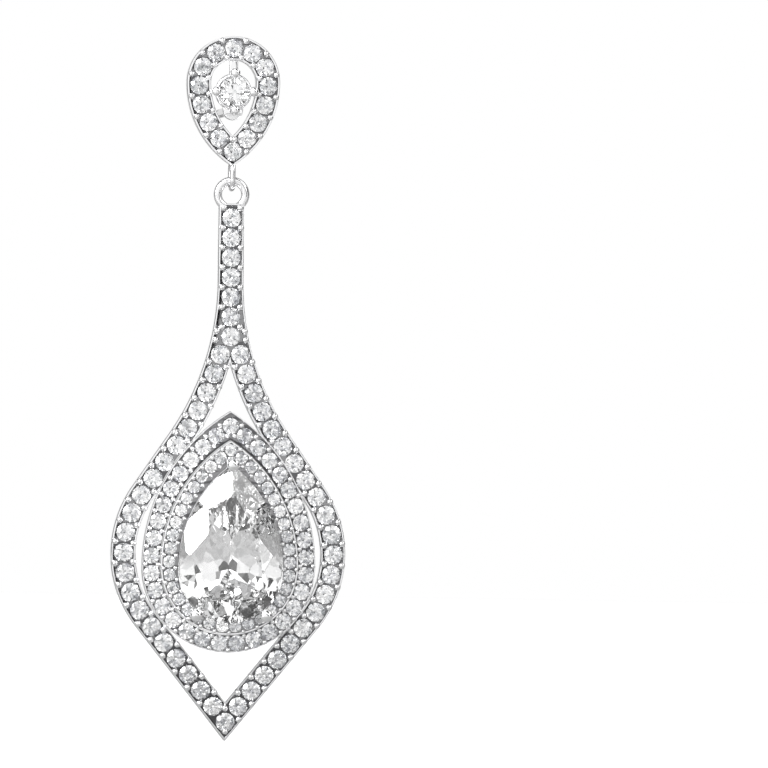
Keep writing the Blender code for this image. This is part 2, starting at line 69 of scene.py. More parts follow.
def pickObject(piece):
    deselectAll()
    piece.select_set(True)
    bpy.context.view_layer.objects.active = piece


def startEdit(piece):
    pickObject(piece)
    bpy.ops.object.mode_set(mode="EDIT")
    bpy.ops.mesh.select_mode(type="FACE")
    bpy.ops.mesh.select_all(action="SELECT")


def endEdit():
    bpy.ops.object.mode_set(mode="OBJECT")


def pickFaces(piece, wanted):  # leaves edit mode open with the faces picked by their place or normal
    pickObject(piece)
    for vert in piece.data.vertices:
        vert.select = False
    for edge in piece.data.edges:
        edge.select = False
    for face in piece.data.polygons:
        face.select = wanted(face)
    bpy.ops.object.mode_set(mode="EDIT")
    bpy.ops.mesh.select_mode(type="FACE")


def joinPieces(pieces, name):
    deselectAll()
    for piece in pieces:
        piece.select_set(True)
    bpy.context.view_layer.objects.active = pieces[0]
    bpy.ops.object.join()
    joined = bpy.context.object
    joined.name = name
    joined.data.name = name
    return joined


def applyPlace(piece):
    pickObject(piece)
    bpy.ops.object.transform_apply(location=True, rotation=True, scale=True)


def applyModifier(piece, modifier):
    pickObject(piece)
    bpy.ops.object.modifier_apply(modifier=modifier.name)


def cleanShell(piece):
    startEdit(piece)
    bpy.ops.mesh.remove_doubles(threshold=weldWithin)
    bpy.ops.mesh.normals_make_consistent(inside=False)
    endEdit()


def softenEdges(piece, width, segments=2, fromAngle=35):
    soften = piece.modifiers.new("softEdge", "BEVEL")
    soften.width = width
    soften.segments = segments
    soften.limit_method = "ANGLE"
    soften.angle_limit = math.radians(fromAngle)
    soften.use_clamp_overlap = True
    applyModifier(piece, soften)


def cutAway(piece, cutter):
    cut = piece.modifiers.new("cut", "BOOLEAN")
    cut.operation = "DIFFERENCE"
    cut.solver = "EXACT"
    cut.use_self = True
    cut.object = cutter
    applyModifier(piece, cut)
    bpy.data.objects.remove(cutter)


def finishPiece(piece, material, body, node, smoothAngle=None):
    applyPlace(piece)
    piece.scale = (0.001, 0.001, 0.001)
    applyPlace(piece)
    if smoothAngle:
        bpy.ops.object.shade_smooth_by_angle(angle=math.radians(smoothAngle))
    else:
        bpy.ops.object.shade_flat()
    piece.data.materials.clear()
    piece.data.materials.append(material)
    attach(piece, body)
    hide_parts(node)
    print("made", piece.name, len(piece.data.polygons), "faces")


# Outlines are lists of (x, z) points.

fit = 0.05


def arcPoints(centre, radius, startAngle, endAngle, steps):
    angles = [startAngle + (endAngle - startAngle) * i / steps for i in range(steps + 1)]
    return [(centre[0] + radius * math.cos(a), centre[1] + radius * math.sin(a)) for a in angles]


def mirrorSide(side):
    return side + [(-x, z) for x, z in reversed(side[1:-1])]


def teardropSide(radius, drop, centreZ, point=1, inset=0, steps=26):
    sideRadius = (radius**2 + drop**2) / (2 * radius)
    centreX = radius - sideRadius
    topAngle = math.acos(-centreX / (sideRadius - inset))
    flank = arcPoints((centreX, 0), sideRadius - inset, topAngle, 0, steps)
    bowl = arcPoints((0, 0), radius - inset, 0, -math.pi / 2, steps)
    side = [(0, flank[0][1])] + flank[1:] + bowl[1:-1] + [(0, -(radius - inset))]
    return [(x, centreZ + point * z) for x, z in side]


def walkPath(path, distance):  # the point at a distance along a path, and the direction there
    for (x0, z0), (x1, z1) in zip(path, path[1:]):
        length = math.hypot(x1 - x0, z1 - z0)
        if distance <= length + 1e-9:
            share = distance / length
            spot = (x0 + (x1 - x0) * share, z0 + (z1 - z0) * share)
            return spot, ((x1 - x0) / length, (z1 - z0) / length)
        distance -= length
    return path[-1], ((x1 - x0) / length, (z1 - z0) / length)


def pathLength(path):
    return sum(math.hypot(x1 - x0, z1 - z0) for (x0, z0), (x1, z1) in zip(path, path[1:]))


def insideOutline(spot, outline):
    x, z = spot
    crossed = False
    for (x0, z0), (x1, z1) in zip(outline, outline[1:] + outline[:1]):
        if (z0 > z) != (z1 > z) and x < x0 + (x1 - x0) * (z - z0) / (z1 - z0):
            crossed = not crossed
    return crossed


def flatPlate(name, outlines, frontY, thickness):  # filled outlines, extruded back in edit mode
    deselectAll()
    flat = bpy.data.curves.new(name, "CURVE")
    flat.dimensions = "2D"
    flat.fill_mode = "BOTH"
    for outline in outlines:
        spline = flat.splines.new("POLY")
        spline.points.add(len(outline) - 1)
        for spot, (x, z) in zip(spline.points, outline):
            spot.co = (x, z, 0, 1)
        spline.use_cyclic_u = True
    plate = bpy.data.objects.new(name, flat)
    bpy.context.scene.collection.objects.link(plate)
    plate.rotation_euler = (math.pi / 2, 0, 0)
    plate.location = (0, frontY, 0)
    pickObject(plate)
    bpy.ops.object.convert(target="MESH")
    applyPlace(plate)
    startEdit(plate)
    bpy.ops.mesh.remove_doubles(threshold=weldWithin)
    bpy.ops.mesh.extrude_region_move(TRANSFORM_OT_translate={"value": (0, thickness, 0)})
    bpy.ops.mesh.select_all(action="SELECT")
    bpy.ops.mesh.normals_make_consistent(inside=False)
    endEdit()
    return plate


def roundWire(name, points, radius, closed=False, sides=3):
    deselectAll()
    run = bpy.data.curves.new(name, "CURVE")
    run.dimensions = "3D"
    run.bevel_depth = radius
    run.bevel_resolution = sides
    run.use_fill_caps = True
    spline = run.splines.new("POLY")
    spline.points.add(len(points) - 1)
    for spot, place in zip(spline.points, points):
        spot.co = (*place, 1)
    spline.use_cyclic_u = closed
    wire = bpy.data.objects.new(name, run)
    bpy.context.scene.collection.objects.link(wire)
    pickObject(wire)
    bpy.ops.object.convert(target="MESH")
    cleanShell(wire)
    return wire


def wireBall(centre, radius, squash=1.0):
    deselectAll()
    bpy.ops.mesh.primitive_uv_sphere_add(
        segments=ballMesh["around"], ring_count=ballMesh["rings"], radius=radius, location=centre)
    tip = bpy.context.object
    tip.rotation_euler = (math.pi / 2, 0, 0)
    tip.scale = (1, 1, squash)
    applyPlace(tip)
    return tip


# Materials: polished plate and cut crystal.


polishNoise = {
    "broadDetail": 3, "fineScale": 5200, "fineDetail": 2, "glossFrom": (0.3, 0.7), "rippleDeep": 0.0001,
}
# painted facet tones: dark, grey and white steps laid on the stones' colour
paintedFacetTones = ((0.0, (0.2, 0.2, 0.22)), (0.14, (0.62, 0.63, 0.66)), (0.36, (1, 1, 1)))
zirconiaIor = 2.16


def setInputs(node, values):
    for label, value in values.items():
        node.inputs[label].default_value = value


def makeGroup(name, inputs, outputs):
    group = bpy.data.node_groups.new(name, "ShaderNodeTree")
    for way, sockets in (("INPUT", inputs), ("OUTPUT", outputs)):
        for label, kind in sockets:
            group.interface.new_socket(label, in_out=way, socket_type="NodeSocket" + kind)
    return group


def makePolishGroup():  # unevenness of hand polished plate: tone, gloss and a faint ripple
    group = makeGroup(
        "handPolish",
        (("Patch Size", "Float"), ("Light Tone", "Color"), ("Dark Tone", "Color"), ("Gloss Low", "Float"),
         ("Gloss High", "Float")),
        (("Tone", "Color"), ("Gloss", "Float"), ("Ripple", "Float")),
    )
    nodes, links = group.nodes, group.links
    inputs = nodes.new("NodeGroupInput")
    outputs = nodes.new("NodeGroupOutput")
    place = nodes.new("ShaderNodeTexCoord")
    broad = nodes.new("ShaderNodeTexNoise")
    broad.inputs["Detail"].default_value = polishNoise["broadDetail"]
    fine = nodes.new("ShaderNodeTexNoise")
    setInputs(fine, {"Scale": polishNoise["fineScale"], "Detail": polishNoise["fineDetail"]})
    toneMix = nodes.new("ShaderNodeMix")
    toneMix.data_type = "RGBA"
    glossRange = nodes.new("ShaderNodeMapRange")
    setInputs(glossRange, {
        "From Min": polishNoise["glossFrom"][0], "From Max": polishNoise["glossFrom"][1],
    })
    links.new(place.outputs["Object"], broad.inputs["Vector"])
    links.new(place.outputs["Object"], fine.inputs["Vector"])
    links.new(inputs.outputs["Patch Size"], broad.inputs["Scale"])
    links.new(broad.outputs["Fac"], toneMix.inputs["Factor"])
    links.new(inputs.outputs["Dark Tone"], toneMix.inputs["A"])
    links.new(inputs.outputs["Light Tone"], toneMix.inputs["B"])
    links.new(fine.outputs["Fac"], glossRange.inputs["Value"])
    links.new(inputs.outputs["Gloss Low"], glossRange.inputs["To Min"])
    links.new(inputs.outputs["Gloss High"], glossRange.inputs["To Max"])
    links.new(toneMix.outputs["Result"], outputs.inputs["Tone"])
    links.new(glossRange.outputs["Result"], outputs.inputs["Gloss"])
    links.new(broad.outputs["Fac"], outputs.inputs["Ripple"])
    return group


def makePlateMaterial(name, lightTone, darkTone, gloss, patchSize, ripple, dullAndPaintedShadeTone=None):
    material = bpy.data.materials.new(name)
    material.use_nodes = True
    nodes, links = material.node_tree.nodes, material.node_tree.links
    shader = nodes["Principled BSDF"]
    shader.inputs["Metallic"].default_value = 1.0
    polish = nodes.new("ShaderNodeGroup")
    polish.node_tree = polishGroup
    setInputs(polish, {
        "Patch Size": patchSize, "Light Tone": (*lightTone, 1), "Dark Tone": (*darkTone, 1),
        "Gloss Low": gloss[0], "Gloss High": gloss[1],
    })
    bump = nodes.new("ShaderNodeBump")
    setInputs(bump, {"Strength": ripple, "Distance": polishNoise["rippleDeep"]})
    links.new(polish.outputs["Tone"], shader.inputs["Base Color"])
    if dullAndPaintedShadeTone:  # painted shade in the bed and the seats, partly also the grey of metal that no polishing wheel reaches
        dullAndShadeMask = nodes.new("ShaderNodeAttribute")
        dullAndShadeMask.attribute_name = "dullAndShadeMask"
        dullAndShadeMix = nodes.new("ShaderNodeMix")
        dullAndShadeMix.data_type = "RGBA"
        dullAndShadeMix.inputs["B"].default_value = (*dullAndPaintedShadeTone, 1)
        links.new(dullAndShadeMask.outputs["Fac"], dullAndShadeMix.inputs["Factor"])
        links.new(polish.outputs["Tone"], dullAndShadeMix.inputs["A"])
        links.new(dullAndShadeMix.outputs["Result"], shader.inputs["Base Color"])
    links.new(polish.outputs["Gloss"], shader.inputs["Roughness"])
    links.new(polish.outputs["Ripple"], bump.inputs["Height"])
    links.new(bump.outputs["Normal"], shader.inputs["Normal"])
    return material


def makePaintedFacetGroup():  # painted light and shade of cut facets, cell by cell, with a little painted colour of fire
    group = makeGroup(
        "paintedFacetLight", (("Cell Size", "Float"), ("Depth", "Float"), ("Tint", "Float")), (("Tone", "Color"),))
    nodes, links = group.nodes, group.links
    inputs = nodes.new("NodeGroupInput")
    outputs = nodes.new("NodeGroupOutput")
    place = nodes.new("ShaderNodeTexCoord")
    cells = nodes.new("ShaderNodeTexVoronoi")
    cells.feature = "F1"
    split = nodes.new("ShaderNodeSeparateColor")
    shade = nodes.new("ShaderNodeValToRGB")
    shade.color_ramp.interpolation = "CONSTANT"
    stops = shade.color_ramp.elements
    stops.new(paintedFacetTones[-1][0])
    for stop, (begins, tone) in zip(stops, paintedFacetTones):
        stop.position = begins
        stop.color = (*tone, 1)
    depthMix = nodes.new("ShaderNodeMix")
    depthMix.data_type = "RGBA"
    depthMix.inputs["A"].default_value = (1, 1, 1, 1)
    tintMix = nodes.new("ShaderNodeMix")
    tintMix.data_type = "RGBA"
    tintMix.blend_type = "SOFT_LIGHT"
    links.new(place.outputs["Object"], cells.inputs["Vector"])
    links.new(inputs.outputs["Cell Size"], cells.inputs["Scale"])
    links.new(cells.outputs["Color"], split.inputs["Color"])
    links.new(split.outputs["Red"], shade.inputs["Fac"])
    links.new(inputs.outputs["Depth"], depthMix.inputs["Factor"])
    links.new(shade.outputs["Color"], depthMix.inputs["B"])
    links.new(inputs.outputs["Tint"], tintMix.inputs["Factor"])
    links.new(depthMix.outputs["Result"], tintMix.inputs["A"])
    links.new(cells.outputs["Color"], tintMix.inputs["B"])
    links.new(tintMix.outputs["Result"], outputs.inputs["Tone"])
    return group


def makeStoneMaterial(name, cellSize, depth, tint):
    material = bpy.data.materials.new(name)
    material.use_nodes = True
    nodes, links = material.node_tree.nodes, material.node_tree.links
    shader = nodes["Principled BSDF"]
    setInputs(shader, {"Roughness": 0.0, "Metallic": 0.0, "IOR": zirconiaIor, "Transmission Weight": 1.0})
    paintedFacets = nodes.new("ShaderNodeGroup")
    paintedFacets.node_tree = paintedFacetGroup
    setInputs(paintedFacets, {"Cell Size": cellSize, "Depth": depth, "Tint": tint})
    links.new(paintedFacets.outputs["Tone"], shader.inputs["Base Color"])
    return material


polishGroup = makePolishGroup()
paintedFacetGroup = makePaintedFacetGroup()
# the band's plate takes painted shade, mixed with unpolished grey, where the mask marks its seats and bed
bandPlate = makePlateMaterial(
    "rhodiumBand", lightTone=(0.97, 0.97, 0.98), darkTone=(0.9, 0.9, 0.91), gloss=(0.03, 0.12),
    patchSize=420, ripple=0.12, dullAndPaintedShadeTone=(0.13, 0.13, 0.135))
wirePlate = makePlateMaterial(
    "rhodiumWire", lightTone=(0.97, 0.97, 0.97), darkTone=(0.91, 0.91, 0.92), gloss=(0.02, 0.08),
    patchSize=600, ripple=0.08)
grainPlate = makePlateMaterial(
    "rhodiumGrain", lightTone=(1.0, 1.0, 1.0), darkTone=(0.9, 0.9, 0.91), gloss=(0.04, 0.1),
    patchSize=1500, ripple=0.05)
# the cell size, depth and tint of the painted facet light and shade in each stone
paveCrystal = makeStoneMaterial("paveCrystal", cellSize=3600, depth=0.95, tint=0.05)
solitaireCrystal = makeStoneMaterial("solitaireCrystal", cellSize=2600, depth=0.4, tint=0.04)
pearCrystal = makeStoneMaterial("pearCrystal", cellSize=1500, depth=0.12, tint=0.04)
print("materials ready")


# Stone cutting: a blank is sliced facet by facet, as on a lapidary wheel.

crownCut = {"mains": 8, "table": 0.57, "starReach": 1.28, "halfSteeper": 1.17, "lowerHalfSteeper": 1.017}
cutClean = {"merge": 0.001, "flatWithin": 0.3}
scatterStep = 2.3


def sliceFacet(centre, direction, low, high):  # low and high are (reach, height before the girdle)
    x, y, z = centre
    across, up = high[0] - low[0], high[1] - low[1]
    outward = (abs(up), abs(across) * (1 if up > 0 else -1))
    bpy.ops.mesh.select_all(action="SELECT")
    bpy.ops.mesh.bisect(
        plane_co=(x + low[0] * direction[0], y - low[1], z + low[0] * direction[1]),
        plane_no=(outward[0] * direction[0], -outward[1], outward[0] * direction[1]),
        use_fill=True, clear_outer=True,
    )


def sliceTier(centre, reachAt, tier):
    # one round of facets, each passing (inset from the girdle, height before it) at the tier's slope
    for i in range(tier["count"]):
        direction, reach = reachAt((i + tier["phase"]) / tier["count"])
        start = reach - tier["inset"]
        scatter = tier["scatter"] * math.sin(scatterStep * i + tier["slope"])
        rise = math.tan(math.radians(tier["slope"] + scatter))
        sliceFacet(centre, direction, (start, tier["height"]), (start - 1, tier["height"] + rise))


def finishCut(centre, tableHeight):
    bpy.ops.mesh.select_all(action="SELECT")
    bpy.ops.mesh.bisect(
        plane_co=(centre[0], centre[1] - tableHeight, centre[2]), plane_no=(0, -1, 0),
        use_fill=True, clear_outer=True,
    )
    bpy.ops.mesh.select_all(action="SELECT")
    bpy.ops.mesh.remove_doubles(threshold=cutClean["merge"])
    bpy.ops.mesh.dissolve_limited(angle_limit=math.radians(cutClean["flatWithin"]))
    bpy.ops.mesh.normals_make_consistent(inside=False)
    endEdit()


def cutStone(blank, centre, reachAt, count, crown, pavilion, girdle):
    # reachAt(turn) gives the outline's direction and reach at a share of the way round
    startEdit(blank)
    table = crownCut["table"]
    for i in range(count):
        direction, reach = reachAt(i / count)
        sliceFacet(centre, direction, (reach, girdle), (table * reach, girdle + crown))
        sliceFacet(centre, direction, (reach, 0), (0, -pavilion))
    for i in range(2 * count):
        direction, reach = reachAt((i + 0.5) / (2 * count))
        steep = crownCut["halfSteeper"] * crown
        sliceFacet(centre, direction, (reach, girdle), (table * reach, girdle + steep))
        lower = crownCut["lowerHalfSteeper"] * pavilion
        sliceFacet(centre, direction, (reach, 0), (0, -lower))
    for i in range(count):
        direction, reach = reachAt((i + 0.5) / count)
        edge = table * math.cos(math.pi / count) * reach
        sliceFacet(centre, direction, (crownCut["starReach"] * reach, girdle), (edge, girdle + crown))
    finishCut(centre, girdle + crown)


def cutRound(name, radius, crown, pavilion, girdle, centre=(0, 0, 0), sides=16):
    deselectAll()
    bpy.ops.mesh.primitive_cylinder_add(
        vertices=sides, radius=radius / math.cos(math.pi / sides), depth=4 * radius, location=centre,
        rotation=(math.pi / 2, 0, 0),
    )
    blank = bpy.context.object
    blank.name = name
    applyPlace(blank)

    def reachAt(share):
        turn = 2 * math.pi * share
        return (math.cos(turn), math.sin(turn)), radius

    cutStone(blank, centre, reachAt, crownCut["mains"], crown, pavilion, girdle)
    return blank


# Pave rows: seats, stones and beads.

paveSizes = {
    "stud": {"stone": 0.76, "bead": 0.27, "beside": 0.73},
    "frame": {"stone": 0.79, "bead": 0.29, "beside": 0.76},
    "middle": {"stone": 0.68, "bead": 0.22, "beside": 0.54},
    "inner": {"stone": 0.52, "bead": 0.19, "beside": 0.5},
}
stoneSit = {"girdleProud": 0.08, "crown": 0.3, "pavilion": 0.86, "girdle": 0.03}
grainSit = {"proud": 0.42, "sides": 10, "rings": 7, "domeTo": 1.05, "shank": 2.0}
bedShade = {"share": 0.8, "deepest": 0.2, "below": 0.01}
seatCut = {
    "sides": 20, "wider": 1.06, "deep": 0.95, "footShare": 0.22, "above": 0.02, "mouth": 0.6,
    "loose": 0.06, "looseSteps": (7.1, 4.7), "turnStep": 2.4,
}
bandEdge = {"step": 0.03, "backMargin": 0.08, "soft": 0.045}
slopeStep = 0.01


def makePaveStone():  # one stone of radius 1, facing -Y, copied to every seat
    return cutRound("paveStone", 1, stoneSit["crown"], stoneSit["pavilion"], stoneSit["girdle"])


def makeGrain():  # a raised bead of radius 1 on a straight shank, top at y = 0
    deselectAll()
    bpy.ops.mesh.primitive_uv_sphere_add(
        segments=grainSit["sides"], ring_count=grainSit["rings"], radius=1, location=(0, 1, 0),
        rotation=(math.pi / 2, 0, 0),
    )
    grain = bpy.context.object
    grain.name = "grain"
    applyPlace(grain)
    pickFaces(grain, lambda face: face.center.y > grainSit["domeTo"])
    bpy.ops.mesh.delete(type="FACE")
    bpy.ops.mesh.select_all(action="SELECT")
    bpy.ops.mesh.select_mode(type="EDGE")
    bpy.ops.mesh.region_to_loop()
    bpy.ops.mesh.extrude_edges_move(TRANSFORM_OT_translate={"value": (0, grainSit["shank"], 0)})
    bpy.ops.mesh.fill()
    bpy.ops.mesh.select_all(action="SELECT")
    bpy.ops.mesh.normals_make_consistent(inside=False)
    endEdit()
    return grain


def placeCopies(template, spots, name):  # spots: (x, y, z), turn about Y, tilts about X and Z, size
    copies = []
    for centre, turn, (tiltX, tiltZ), size in spots:
        copy = bpy.data.objects.new(name, template.data.copy())
        bpy.context.scene.collection.objects.link(copy)
        copy.matrix_world = (
            Matrix.Translation(centre) @ Matrix.Rotation(tiltX, 4, "X") @ Matrix.Rotation(tiltZ, 4, "Z")
            @ Matrix.Rotation(-turn, 4, "Y") @ Matrix.Scale(size, 4)
        )
        copies.append(copy)
    return joinPieces(copies, name)


beadShares = (1, 0.9, 0.8, 0.7, 0.6)


def rowSpots(path, places, sizes, bare=None):
    # where the stones and the beads of one row stand: (x, z), turn and size;
    # a bead that would stand on bare ground moves in towards the row
    stones, beads = [], []
    for place in places:
        spot, (dx, dz) = walkPath(path, place)
        stones.append((spot, math.atan2(dz, dx), sizes["stone"]))
    for here, after in zip(places, places[1:]):
        spot, (dx, dz) = walkPath(path, (here + after) / 2)
        for side in (-1, 1):
            for share in beadShares:
                beside = side * sizes["beside"] * share
                bead = (spot[0] - dz * beside, spot[1] + dx * beside)
                if not bare or not insideOutline(bead, bare):
                    beads.append((bead, math.atan2(dz, dx), sizes["bead"]))
                    break
    return stones, beads


def ringSpots(side, count, sizes):
    path = mirrorSide(side)
    path.append(path[0])
    length = pathLength(path)
    stones, beads = rowSpots(path, [length * i / count for i in range(count + 1)], sizes)
    return stones[:count], beads


def noBow(z):
    return 0.0


def markDullAndPaintedShade(band, stones, faceY, paintedShadowNook):
    # the share of painted shade, with unpolished grey, on each face: all of a seat, most of the bed, none
    # of the rims and walls;
    # a painted shadow outline runs round an inner edge that lies low beside the next halo, all of it
    # painted dark as the gap's shadow
    dullAndShadeMask = band.data.attributes.new("dullAndShadeMask", "FLOAT", "FACE")
    bedTop = faceY + bedShade["below"]
    for face in band.data.polygons:
        x, y, z = face.center
        forward = face.normal.y < facing["forward"]
        inSeat = forward and y > bedTop and any(
            math.hypot(x - sx, z - sz) < size * seatCut["wider"] for (sx, sz), _, size in stones)
        inBed = face.normal.y < facing["front"] and bedTop < y < faceY + bedShade["deepest"]
        inPaintedShadow = paintedShadowNook and forward and insideOutline((x, z), paintedShadowNook)
        dullAndShadeMask.data[face.index].value = 1.0 if inSeat or inPaintedShadow else bedShade["share"] if inBed else 0.0


def setRow(name, band, stones, beads, faceY, bow=noBow, paintedShadowNook=None):
    # drills the seats, then sets the stones and raises the beads
    def lift(z):
        return (bow(z + slopeStep) - bow(z - slopeStep)) / (2 * slopeStep)

    deselectAll()
    bpy.ops.mesh.primitive_cone_add(
        vertices=seatCut["sides"], radius1=1, radius2=seatCut["footShare"], depth=2, location=(0, 0, 0),
        rotation=(-math.pi / 2, 0, 0),
    )
    drill = bpy.context.object
    applyPlace(drill)
    pickFaces(drill, lambda face: face.normal.y < facing["front"])
    bpy.ops.mesh.extrude_region_move(TRANSFORM_OT_translate={"value": (0, -seatCut["mouth"], 0)})
    endEdit()
    cuts = []
    for (x, z), turn, size in stones:
        cut = bpy.data.objects.new("seat", drill.data.copy())
        bpy.context.scene.collection.objects.link(cut)
        wide = size * seatCut["wider"]
        deep = seatCut["deep"]
        middleY = faceY - seatCut["above"] + deep / 2
        cut.matrix_world = Matrix.Translation((x, middleY, z)) @ Matrix.Diagonal((wide, deep / 2, wide, 1))
        cuts.append(cut)
    bpy.data.objects.remove(drill)
    cutter = joinPieces(cuts, "seats")
    applyPlace(cutter)
    cutAway(band, cutter)
    markDullAndPaintedShade(band, stones, faceY, paintedShadowNook)
    if bow is not noBow:
        startEdit(band)
        bpy.ops.mesh.quads_convert_to_tris()
        endEdit()
        for vert in band.data.vertices:
            vert.co.y -= bow(vert.co.z)
    proud = stoneSit["girdleProud"]
    loose, (tiltStep, rollStep) = seatCut["loose"], seatCut["looseSteps"]
    stoneSpots = [
        (
            (x, faceY - proud - bow(z), z), turn + seatCut["turnStep"] * i,
            (math.atan(lift(z)) + loose * math.sin(tiltStep * i), loose * math.cos(rollStep * i)), size,
        )
        for i, ((x, z), turn, size) in enumerate(stones)
    ]
    grainSpots = [
        ((x, faceY - grainSit["proud"] - bow(z), z), turn, (math.atan(lift(z)), 0), size)
        for (x, z), turn, size in beads
    ]
    stonePiece = placeCopies(paveStone, stoneSpots, name + "Stones")
    grains = placeCopies(grain, grainSpots, name + "Beads")
    return stonePiece, grains


def rimmedBand(name, outer, opening, frontY, thickness, rim, sunk):
    # a plate whose front keeps a thin raised rim round a sunk bed for the stones
    band = flatPlate(name, [outer, opening], frontY, thickness)
    pickFaces(band, lambda face: face.normal.y < facing["front"])
    bpy.ops.mesh.inset(thickness=rim, depth=0, use_even_offset=True)
    bpy.ops.mesh.inset(thickness=bandEdge["step"], depth=-sunk, use_even_offset=True)
    endEdit()
    pickFaces(band, lambda face: face.normal.y > facing["back"])  # a margin keeps the back's shading flat
    bpy.ops.mesh.inset(thickness=bandEdge["backMargin"], depth=0, use_even_offset=True)
    endEdit()
    softenEdges(band, bandEdge["soft"])
    return band


def finishRow(band, stonePiece, beadPiece, body, node):
    finishPiece(band, bandPlate, body, node, smoothAngles["band"])
    finishPiece(stonePiece, paveCrystal, body, node)
    finishPiece(beadPiece, grainPlate, body, node, smoothAngles["bead"])


paveStone = makePaveStone()
grain = makeGrain()
print("pave stone has", len(paveStone.data.polygons), "faces, bead has", len(grain.data.polygons))


# The stud frame with the loop under it.

stud = {
    "radius": 3.94, "drop": 7.08, "centreZ": 2.33, "band": 2.0, "thick": 1.45, "stones": 14,
    "rim": 0.16, "sunk": 0.1,
}
dropPlaneY = -0.75
ring = {"radius": 1.17, "wire": 0.35, "centreZ": -7.16, "steps": 64}
loop = {"wire": 0.25, "radius": 0.85, "straight": 0.5, "steps": 24}
loopBarZ = ring["centreZ"] + ring["radius"] - ring["wire"] - fit - loop["wire"]


def makeStud():
    outer = mirrorSide(teardropSide(stud["radius"], stud["drop"], stud["centreZ"], -1))
    opening = mirrorSide(teardropSide(stud["radius"], stud["drop"], stud["centreZ"], -1, stud["band"]))
    band = rimmedBand("studBand", outer, opening, -stud["thick"], stud["thick"], stud["rim"], stud["sunk"])
    row = teardropSide(stud["radius"], stud["drop"], stud["centreZ"], -1, stud["band"] / 2)
    stones, beads = ringSpots(row, stud["stones"], paveSizes["stud"])
    stonePiece, beadPiece = setRow("stud", band, stones, beads, -stud["thick"])
    finishRow(band, stonePiece, beadPiece, "stud", "stud_frame")


def makeStudLoop():
    low = loopBarZ + loop["radius"]
    bottom = arcPoints((dropPlaneY, low), loop["radius"], math.pi, 2 * math.pi, loop["steps"])
    top = arcPoints((dropPlaneY, low + loop["straight"]), loop["radius"], 0, math.pi, loop["steps"])
    wire = roundWire("studLoop", [(0, y, z) for y, z in bottom + top], loop["wire"], closed=True, sides=4)
    finishPiece(wire, wirePlate, "stud", "stud_frame", smoothAngles["wire"])


makeStud()
makeStudLoop()


# The solitaire, its setting and the post.

solitaire = {
    "radius": 1.25, "z": 1.53, "proud": 1.5, "crown": 0.4, "pavilion": 1.05, "girdle": 0.05, "sides": 32,
}
setting = {
    "galleryRadius": 1.35, "galleryWire": 0.22, "prongWire": 0.23, "ball": 0.42, "ballSquash": 0.83,
    "prongProud": 0.5, "prongs": 4, "bend": 0.4, "gallerySteps": 48, "padRadius": 0.85, "padThick": 1.2,
    "padSides": 40, "padSoft": 0.08, "bridgeWide": 0.72, "bridgeSoft": 0.12, "softSteps": 3,
}
post = {
    "radius": 0.4, "length": 12.0, "grooveBack": 2.2, "grooveWidth": 0.6, "grooveDepth": 0.1, "sides": 40,
    "lip": 0.03, "lipShare": 0.7, "waistShare": 0.4, "tipSteps": 6,
}


def makeSolitaire():
    girdleY = -stud["thick"] - solitaire["proud"] + solitaire["crown"]
    gem = cutRound(
        "solitaireGem", solitaire["radius"], solitaire["crown"], solitaire["pavilion"],
        solitaire["girdle"], (0, girdleY + solitaire["girdle"], solitaire["z"]), solitaire["sides"],
    )
    finishPiece(gem, solitaireCrystal, "stud", "solitaire_stone")
    galleryY = -stud["thick"] + setting["galleryWire"] + 2 * fit
    circle = arcPoints(
        (0, solitaire["z"]), setting["galleryRadius"], 0, 2 * math.pi, setting["gallerySteps"])[:-1]
    circle = [(x, galleryY, z) for x, z in circle]
    parts = [roundWire("gallery", circle, setting["galleryWire"], closed=True)]
    reach = solitaire["radius"] + setting["prongWire"] + 2 * fit
    tipY = girdleY - setting["prongProud"]
    for i in range(setting["prongs"]):
        turn = 2 * math.pi * i / setting["prongs"]
        run = [(setting["galleryRadius"], galleryY), (reach, galleryY - setting["bend"]), (reach, tipY)]
        points = [(r * math.cos(turn), y, solitaire["z"] + r * math.sin(turn)) for r, y in run]
        parts.append(roundWire("prong", points, setting["prongWire"]))
        parts.append(wireBall(points[-1], setting["ball"], setting["ballSquash"]))
    openingTop = stud["centreZ"] + stud["radius"] - stud["band"]
    low = solitaire["z"] + setting["galleryRadius"]
    deselectAll()
    bpy.ops.mesh.primitive_cube_add(
        size=1, location=(0, galleryY, (low + openingTop - fit) / 2),
        scale=(setting["bridgeWide"], 2 * setting["prongWire"], openingTop - fit - low),
    )
    bridge = bpy.context.object
    applyPlace(bridge)
    softenEdges(bridge, setting["bridgeSoft"], setting["softSteps"])
    parts.append(bridge)
    deselectAll()
    bpy.ops.mesh.primitive_cylinder_add(
        vertices=setting["padSides"], radius=setting["padRadius"], depth=setting["padThick"],
        location=(0, -setting["padThick"] / 2, 0), rotation=(math.pi / 2, 0, 0),
    )
    pad = bpy.context.object
    applyPlace(pad)
    softenEdges(pad, setting["padSoft"], setting["softSteps"])
    parts.append(pad)
    holder = joinPieces(parts, "solitaireSetting")
    finishPiece(holder, wirePlate, "stud", "solitaire_basket", smoothAngles["setting"])


